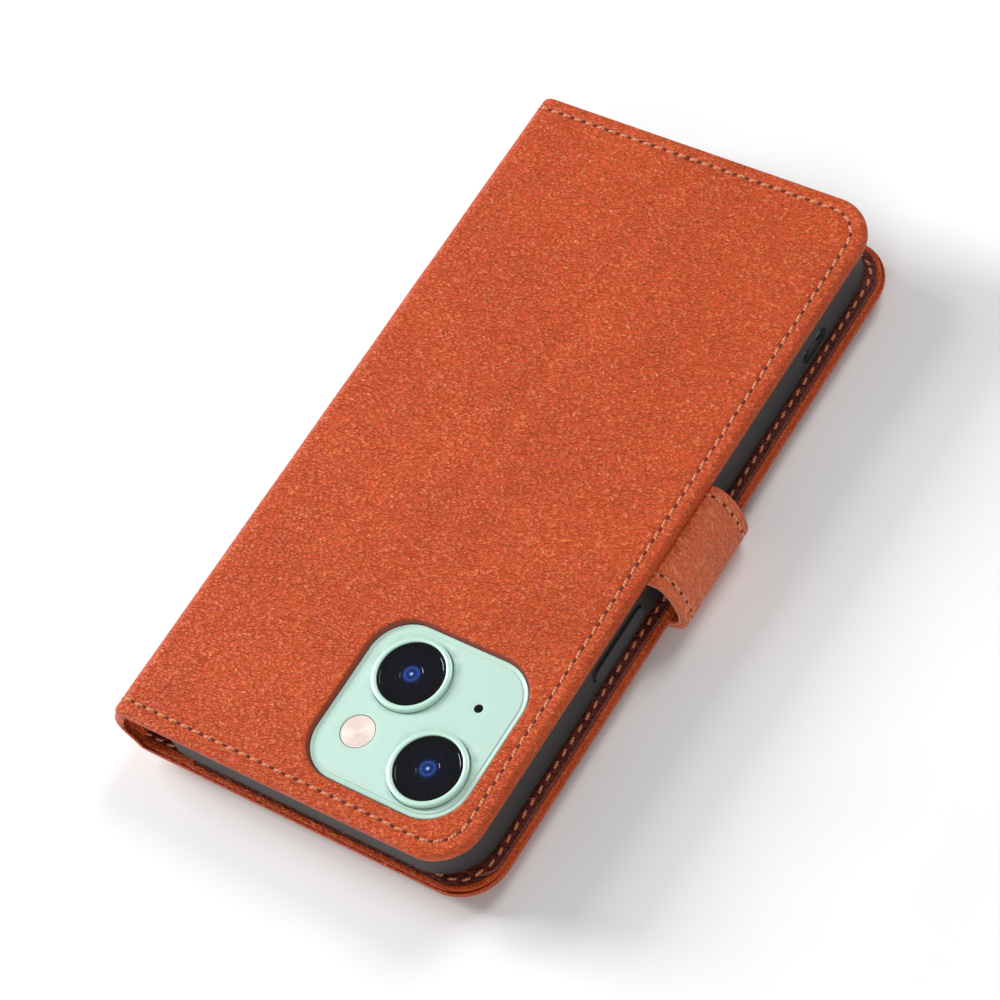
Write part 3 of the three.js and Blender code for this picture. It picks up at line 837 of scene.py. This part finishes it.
def front_relief(u, v):
    return ripple(u, v, 9)


def camera_hole():
    """The opening round the camera island: a pulled-in lip, then a wall sloping down to it."""
    margin = 0.45
    u_range = [flat_u(SPINE_FOLD, x) for x in (island_lo[0] - margin, island_hi[0] + margin)]
    v_range = (island_lo[1] - margin, island_hi[1] + margin)
    loop = closed_outline(u_range, v_range, [8.6] * 4, 1.2, 12)
    lip = [(0.85, 0.0), (0.45, 0.01), (0.2, 0.05), (0.06, 0.15), (0.01, 0.28)]
    wall = [(-0.08, 0.5, 1), (-0.24, 0.85, 1), (-0.34, 1.04, 1), (-0.37, 1.2, 1), (-0.37, 2.3, 1)]
    return loop, [*lip, *wall]


def panel_sheet(fold, edge_x, holes, relief):
    """The outer leather of a panel and half the spine, before it is bent."""
    length = flat_u(fold, edge_x)
    us, vs = grid_lines(length, HALF, 14.0)
    outline = open_outline(length, HALF, CORNER, 14.0)
    return Sheet(outline, RIM_RINGS, False, us, vs, holes, relief)


def valley_level(u, v):
    """Depth of the seam's valley, in which the outer stitches lie."""
    return 0.1


def outer_seam(name, fold, edge_x):
    line, run = seam_line(flat_u(fold, edge_x), HALF, CORNER, SEAM_INSET)
    return bent_seam(name, fold, stitch_row(line, run, valley_level))


def blend_spine(obj, upper):
    """Bakes the transform of leather that crosses from a panel onto the spine, the same way for
    either half.
    """
    if upper:
        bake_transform(obj)
    else:
        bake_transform(obj)


def build_back():
    sheet = panel_sheet(SPINE_FOLD, back_hi[0], [camera_hole()], back_relief)
    skin = bent_sheet("back_leather", sheet, SPINE_FOLD, SKIN, [LEATHER, EDGE_PAINT])
    blend_spine(skin, True)
    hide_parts("back_skin", "spine_skin")
    seam = outer_seam("back_stitches", SPINE_FOLD, back_hi[0])
    blend_spine(seam, True)
    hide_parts("back_stitching")


def build_cover():
    sheet = panel_sheet(COVER_FOLD, front_hi[0], [], front_relief)
    rings_top = front_hi[2] - front_lo[2]
    sheet.points[:, 2] = np.minimum(sheet.points[:, 2], rings_top + 0.1)
    skin = bent_sheet(
        "front_leather", sheet, COVER_FOLD, SKIN, [LEATHER, EDGE_PAINT], grain_sign=-1
    )
    blend_spine(skin, False)
    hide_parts("front_skin", "spine_skin")
    seam = outer_seam("front_stitches", COVER_FOLD, front_hi[0])
    blend_spine(seam, False)
    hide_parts("front_stitching")


# ------------------------ inner leather and pockets

TURNED = 2  # the outer leather turned over the cover's edge, in the linings' list of finishes
THIN_RINGS = [(0.06, 0.42), (0.0, 0.3), (0.0, 0.14), (0.06, 0.04), (0.2, 0.0), (0.6, 0.0)]
SEAM_RINGS = [
    *[(d, h, TURNED) for d, h in THIN_RINGS], (1.5, 0.0, TURNED), (1.58, 0.06), (1.7, 0.06),
    (2.2, 0.07), (2.6, 0.13), (2.9, 0.08), (3.2, 0.02), (3.8, 0.0),
]
INNER_INSET = 2.1


def inner_fold(mirror):
    """The inside of the spine, from its middle to the lining of one panel."""
    inside = SPINE_OUT + SKIN + 0.08
    if mirror:
        start, level, shoulder = 1, lining_hi[2], SPINE_X - 0.4
    else:
        start, level, shoulder = -1, tray_hi[2] + 0.02, SPINE_X - 0.2
    curve = bezier(
        (inside, MID_Z),
        (inside, MID_Z - start * 2.4),
        (shoulder - 0.9, level),
        (shoulder + 1.3, level),
    )
    end = (SPINE_X + 6, level) if mirror else (tray_lo[0] - 0.2, level)
    return Fold([*curve, end], 1 if mirror else -1)


def build_linings():
    """The spine's inside above its middle, and the cover's inside with the spine's below it."""
    upper = inner_fold(False)
    edge = HALF - 0.6
    length = upper.length
    outline = open_outline(length, edge, 1.2, length, 1.5, 4)
    us = stations(DENSE, length - 0.8, DENSE, length)
    vs = list(np.linspace(-edge + 2, edge - 2, 60))
    sheet = Sheet(outline, THIN_RINGS, False, us, vs)
    top = bent_sheet("spine_lining_upper", sheet, upper, 0.4, [SHADED_LINING, CUT_EDGE], 1)
    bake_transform(top)
    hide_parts("spine_lining")

    lower = inner_fold(True)
    length = lower.length + lining_hi[0] - FLAT_START
    outline = open_outline(length, edge, CORNER - 0.3, 12.0)
    us, vs = grid_lines(length, edge, 12.0)
    sheet = Sheet(outline, SEAM_RINGS, False, us, vs)
    finishes = [SHADED_LINING, CUT_EDGE, LEATHER]
    leather_sheet = bent_sheet("cover_lining", sheet, lower, 0.4, finishes, TURNED)
    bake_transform(leather_sheet)
    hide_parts("front_lining", "spine_lining")

    def level(u, v):
        """Depth below the lining's face, less than none on the pockets that lie on it."""
        x = FLAT_START + u - lower.length
        height = lining_hi[2]
        if x > pocket_lo[0]:
            height = pocket_hi[2]
        for k in (1, 2, 3):
            lo, hi = box_mm(f"card_slot_{k}")
            if x > lo[0] and abs(v) < hi[1]:
                height = hi[2]
        return lining_hi[2] - height + 0.02

    line, run = seam_line(length, edge, CORNER - 0.3, INNER_INSET)
    seam = bent_seam("cover_inner_stitches", lower, stitch_row(line, run, level, seed=8))
    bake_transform(seam)


def flat_leather(name, node, corners, rings, wider=0.0):
    """A flat leather layer that takes a CAD layer's place, with softly rounded edges."""
    lo, hi = box_mm(node)
    hi[0] += wider
    outline = closed_outline((lo[0], hi[0]), (lo[1], hi[1]), corners)
    us = stations(lo[0] + 3, hi[0] - 3, 3.0)
    vs = stations(lo[1] + 3, hi[1] - 3, 3.0)
    sheet = Sheet(outline, rings, True, us, vs)
    thickness = hi[2] - lo[2]
    u, v, depth = sheet.points.T
    points = np.column_stack([u, v, hi[2] - np.minimum(depth, thickness)])
    points, faces, paint = thicken(points, sheet.faces, sheet.paint, thickness, 1)
    obj = make_object(name, points, faces, [SHADED_LINING, CUT_EDGE, LEATHER], paint, smooth=50)
    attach(obj, "cover")
    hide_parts(node)


def build_pockets():
    lip = [(0.05, 0.3), (0.0, 0.2), (0.02, 0.08), (0.12, 0.0), (0.5, 0.0), (0.7, 0.03), (0.9, 0.0)]
    turned = [(d, h, TURNED) for d, h in lip[:-2]] + [(0.95, 0.0, TURNED), (1.02, 0.05), (1.2, 0.02)]
    round_corner = CORNER - 0.3
    corners = [1.5, round_corner, round_corner, 1.5]
    flat_leather("cash_pocket", "cash_pocket_panel", corners, turned, OVERHANG - 0.2)
    for k in (1, 2, 3):
        flat_leather(f"card_pocket_{k}", f"card_slot_{k}", [1.5, 4.5, 4.5, 1.5], lip)


# ------------------------ strap

STRAP_HALF = (band_hi[1] - band_lo[1]) / 2
STRAP_MIDDLE = (band_hi[1] + band_lo[1]) / 2
FLAP_STRAIGHT = back_hi[0] - 6  # where the flap has become flat under the cover


def strap_folds():
    """The strap's outer face from the panel to its middle, and from there to the flap's tip."""
    out = band_hi[0]
    edge = back_hi[0]
    start_z = TOP - 2.4
    waist = TOP - 12
    upper = bezier((edge + 0.6, start_z), (out - 1.6, start_z), (out, start_z - 4.5), (out, waist))
    lower = bezier((out, waist), (out, waist - 3.5), (edge + 3, flap_lo[2]), (edge - 1.5, flap_lo[2]))
    top = Fold([*upper[::-1], (tray_hi[0] + 0.1, start_z)], -1)
    low = Fold([*lower, (FLAP_STRAIGHT, flap_lo[2])], 1)
    return top, low


STRAP_RINGS = [
    (0.1, 1.0), (0.0, 0.85), (0.0, 0.35, 1), (0.08, 0.14), (0.3, 0.02), (0.9, 0.0), (1.5, 0.03),
    (1.85, 0.14), (2.1, 0.2), (2.35, 0.14), (2.7, 0.03), (3.2, 0.0),
]
STRAP_SEAM = 2.1
STRAP_T = 2.0  # both leathers together


def strap_layer(name, fold, length, corner, under):
    """One of the strap's two leathers: the outer one, or the one under it. With no corner, its
    far end is cut square and tucked under the panel."""
    vs = list(np.linspace(-STRAP_HALF + 4, STRAP_HALF - 4, 9))
    if corner:
        us = stations(DENSE, length - 3.6, 0.5)
        outline = open_outline(length, STRAP_HALF, corner, length, 0.8, 14)
        sheet = Sheet(outline, STRAP_RINGS, False, us, vs)
        sheet.points[:, 1] += STRAP_MIDDLE
    else:
        sheet = Strip(stations(0, length, DENSE), STRAP_HALF, STRAP_MIDDLE, STRAP_RINGS, vs)
    if under:
        sheet.points[:, 2] = STRAP_T - sheet.points[:, 2]
        sheet.faces = [tuple(reversed(f)) for f in sheet.faces]
    return bent_sheet(name, sheet, fold, 0.85, [LIT_STRAP_LEATHER, CUT_EDGE], 1)


def strap_level(u, v):
    """Depth of the strap's valley, in which its stitches lie."""
    return 0.06


def build_strap():
    top, low = strap_folds()
    low_length = low.length + FLAP_STRAIGHT - flap_lo[0]
    joints = {j["name"]: Vector(j["pos_m"]) for j in frame["joints"] if j["type"] == "hinge"}
    swing, flap = joints["strap_swing"], joints["flap_swing"]
    # from each hinge, the way that the strap runs there
    reach = 3.4 * MM
    swing_way = Vector((0.4947, 0, -0.8691)) * reach
    flap_way = Vector((-0.6639, 0, -0.7478)) * reach
    plans = (
        ("upper", top, top.length, 0, "root", "strap_band", swing, swing_way),
        ("lower", low, low_length, 8.0, "strap_band", "strap_flap", flap, flap_way),
    )
    for part, fold, length, corner, body, child, hinge, way in plans:
        outer = strap_layer(f"strap_{part}_outer", fold, length, corner, False)
        inner = strap_layer(f"strap_{part}_inner", fold, length, corner, True)
        if corner:
            line, run = seam_line(length, STRAP_HALF, corner, STRAP_SEAM)
            runs = [(line + np.array([0, STRAP_MIDDLE]), run)]
        else:
            run = np.array([0.0, length])
            rows = [STRAP_MIDDLE + side * (STRAP_HALF - STRAP_SEAM) for side in (1, -1)]
            runs = [(np.column_stack([run, [v, v]]), run) for v in rows]
        stitches = joined(stitch_row(*r, strap_level, seed=12) for r in runs)
        seam = bent_seam(f"strap_{part}_stitches", fold, stitches)
        for obj in (outer, inner, seam):
            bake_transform(obj)
        if part == "upper":
            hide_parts("strap_anchor", "strap_band_skin")
            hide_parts("strap_band_lining")
        else:
            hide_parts("strap_flap_skin", "strap_band_skin")
            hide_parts("strap_flap_lining", "strap_band_lining")


# ------------------------ phone camera

def build_camera_island():
    lo, hi = island_lo, island_hi
    holes = []
    for k in (1, 2):
        ring_lo, ring_hi = box_mm(f"phone_lens_ring_{k}")
        middle = (ring_lo + ring_hi) / 2
        radius = (ring_hi[0] - ring_lo[0]) / 2
        # the gap's walls take the darker mint: painted shade in the gap round the ring
        gap = [(0.07, 0.0), (0.03, 0.015), (0.0, 0.09), (0.0, 0.4, 1), (0.0, 0.9, 1)]
        holes.append((circle(*middle[:2], radius + 0.14, 64), gap))
    for node in ("phone_flash", "phone_microphone"):
        node_lo, node_hi = box_mm(node)
        middle = (node_lo + node_hi) / 2
        radius = (node_hi[0] - node_lo[0]) / 2
        # here too the gap's walls are darker mint as painted shade
        gap = [(0.2, 0.0), (0.06, 0.012), (0.0, 0.08), (0.0, 0.3, 1), (0.0, 0.9, 1)]
        holes.append((circle(*middle[:2], radius + 0.1, 40), gap))
    rings = [
        (0.0, 2.0), (0.0, 0.2), (0.04, 0.08), (0.12, 0.02), (0.24, 0.0), (0.32, 0.04),
        (0.84, 0.14), (0.95, 0.14), (1.02, 0.04), (1.09, 0.0), (1.17, 0.0),
    ]
    outline = closed_outline((lo[0], hi[0]), (lo[1], hi[1]), [8.2] * 4, 1.5, 14)
    us = stations(lo[0] + 3, hi[0] - 3, 2.5)
    vs = stations(lo[1] + 3, hi[1] - 3, 2.5)
    sheet = Sheet(outline, rings, True, us, vs, holes)
    points = np.column_stack([sheet.points[:, 0], sheet.points[:, 1], hi[2] - sheet.points[:, 2]])
    points, faces, paint = thicken(points, sheet.faces, sheet.paint, 0.5, 0)
    island = make_object("camera_island", points, faces, [MINT, GAP_SHADE], paint, smooth=28)
    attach(island, "root")
    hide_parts("phone_camera_plateau")


def build_lenses():
    for k in (1, 2):
        lo, hi = box_mm(f"phone_lens_ring_{k}")
        middle = (lo + hi) / 2
        outer = (hi[0] - lo[0]) / 2
        inner = (box_mm(f"phone_lens_{k}")[1][0] - box_mm(f"phone_lens_{k}")[0][0]) / 2
        top, low = hi[2], lo[2]
        profile = [
            (outer, low), (outer, top - 0.16), (outer - 0.03, top - 0.06), (outer - 0.12, top),
            (inner + 0.2, top), (inner + 0.1, top - 0.04), (inner + 0.05, top - 0.12),
            (inner + 0.03, top - 0.3), (inner + 0.03, low),
        ]
        points, faces = closed_lathe(profile, middle, 96)
        ring = make_object(f"lens_ring_{k}", points, faces, [MINT_METAL], smooth=35)
        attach(ring, "root")
        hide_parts(f"phone_lens_ring_{k}")

        face = top - 0.2
        bowl = [
            (0.0, low), (inner, low), (inner, face - 0.05), (inner - 0.05, face),
            (inner - 0.5, face), (inner - 0.56, face - 0.03), (2.2, face - 0.03),
            (2.14, face - 0.06), (0.8, face - 0.06), (0.5, face - 0.045), (0.0, face - 0.04),
        ]
        points, faces = lathe(bowl, middle, 96)
        coating = lens_glass(f"lens_glass_{k}", (middle[0], middle[1], face))
        glass = make_object(f"lens_{k}", points, faces, [coating], smooth=5)
        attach(glass, "root")
        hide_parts(f"phone_lens_{k}")


def build_flash():
    lo, hi = box_mm("phone_flash")
    middle = (lo + hi) / 2
    radius = (hi[0] - lo[0]) / 2
    top = hi[2]
    rings = [(radius, lo[2]), (radius, top - 0.1), (radius - 0.08, top)]
    ridge = 0.035
    for i in range(12):
        r = (radius - 0.2) * (1 - i / 12)
        rings += [(r, top), (r - 0.12, top - ridge)]
    profile = [(0.0, lo[2]), *rings, (0.0, top)]
    points, faces = lathe(profile, middle, 64)
    flash = make_object("flash", points, faces, [FLASH], smooth=25)
    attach(flash, "root")
    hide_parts("phone_flash")


# ------------------------ CAD nodes that stay

def dress_cad(node, material, bevel=0.0):
    """A material, smooth faces and, in millimetres, rounded edges for a CAD node."""
    obj = frame["nodes"][node]
    obj.data.materials.clear()
    obj.data.materials.append(material)
    obj.data.polygons.foreach_set("use_smooth", np.ones(len(obj.data.polygons), bool))
    obj.data.set_sharp_from_angle(angle=math.radians(32))
    if bevel:
        rounding = obj.modifiers.new("rounding", "BEVEL")
        rounding.width = bevel * MM
        rounding.segments = 3
        rounding.limit_method = "ANGLE"
        rounding.angle_limit = math.radians(35)
        rounding.use_clamp_overlap = True


def dress_frame():
    dress_cad("tray", RUBBER, 0.12)
    for name in ("power_button", "volume_up_button", "volume_down_button"):
        dress_cad(name, RUBBER, 0.3)
    dress_cad("phone_frame", MINT_METAL, 0.1)
    dress_cad("phone_back_glass", MINT, 0.1)
    dress_cad("phone_screen", SCREEN, 0.1)
    dress_cad("phone_microphone", SCREEN)
    dress_cad("back_lining", SHADED_LINING)
    for name in ("back_board_spine_side", "back_board_strap_side", "front_board"):
        dress_cad(name, BOARD)
    for name in ("cover_magnet", "strap_magnet"):
        dress_cad(name, STEEL, 0.08)


# ------------------------ stage, light and camera

def build_stage():
    size = 3.0
    mesh = bpy.data.meshes.new("floor")
    mesh.from_pydata(
        [(-size, -size, 0), (size, -size, 0), (size, size, 0), (-size, size, 0)], [], [(0, 1, 2, 3)]
    )
    floor = bpy.data.objects.new("floor", mesh)
    scene.collection.objects.link(floor)
    floor.location.z = -0.0002
    s = Shader("pale_floor")
    tones = [(0.4, rgb(238, 238, 238)), (0.6, rgb(241, 241, 241))]
    broad = s.noise(s.object_places(), 0.02, 2.0)
    s.link(s.ramp(broad, tones), s.surface.inputs["Base Color"])
    s.fixed(Roughness=0.85)
    mesh.materials.append(s.material)


def area_light(name, place, target, size, power):
    data = bpy.data.lights.new(name, "AREA")
    data.shape = "SQUARE"
    data.size = size
    data.energy = power
    obj = bpy.data.objects.new(name, data)
    obj.location = place
    obj.rotation_mode = "QUATERNION"
    obj.rotation_quaternion = (Vector(target) - Vector(place)).to_track_quat("-Z", "Y")
    scene.collection.objects.link(obj)


def build_light():
    world = bpy.data.worlds.new("studio")
    scene.world = world
    world.use_nodes = True
    background = world.node_tree.nodes["Background"]
    background.inputs["Color"].default_value = (1, 1, 1, 1)
    background.inputs["Strength"].default_value = 0.26
    middle = (0, 0, 0.01)
    area_light("key", (-0.95, -0.15, 0.5), middle, 0.35, 11.0)
    area_light("haze", (-0.8, 0.1, 0.85), middle, 0.3, 3.2)
    area_light("top", (0.15, 0.8, 1.0), middle, 0.5, 6.0)
    area_light("fill", (0.6, -0.9, 0.55), middle, 0.8, 5.0)
    scene.view_settings.view_transform = "Standard"
    scene.view_settings.look = "None"


def build_camera():
    """Looks down on the back panel from the strap side, turned so that the case leans right."""
    azimuth, elevation, roll = math.radians(54.40), math.radians(53.90), math.radians(25.87)
    distance, aim = 0.6514, Vector((0.00358, -0.00816, TOP * MM))
    level = Vector((math.cos(azimuth), math.sin(azimuth), 0))
    back = Vector((
        math.sin(azimuth) * math.cos(elevation),
        -math.cos(azimuth) * math.cos(elevation),
        math.sin(elevation),
    ))
    upright = back.cross(level)
    right = level * math.cos(roll) - upright * math.sin(roll)
    up = level * math.sin(roll) + upright * math.cos(roll)
    data = bpy.data.cameras.new("camera")
    data.sensor_width = 36
    data.lens = 127.86
    data.clip_start = 0.01
    data.clip_end = 20
    obj = bpy.data.objects.new("camera", data)
    turn = Matrix((right, up, back)).transposed().to_4x4()
    obj.matrix_world = Matrix.Translation(aim + back * distance) @ turn
    scene.collection.objects.link(obj)
    scene.camera = obj


build_back()
build_cover()
build_linings()
build_pockets()
build_strap()
build_camera_island()
build_lenses()
build_flash()
dress_frame()
build_stage()
build_light()
build_camera()
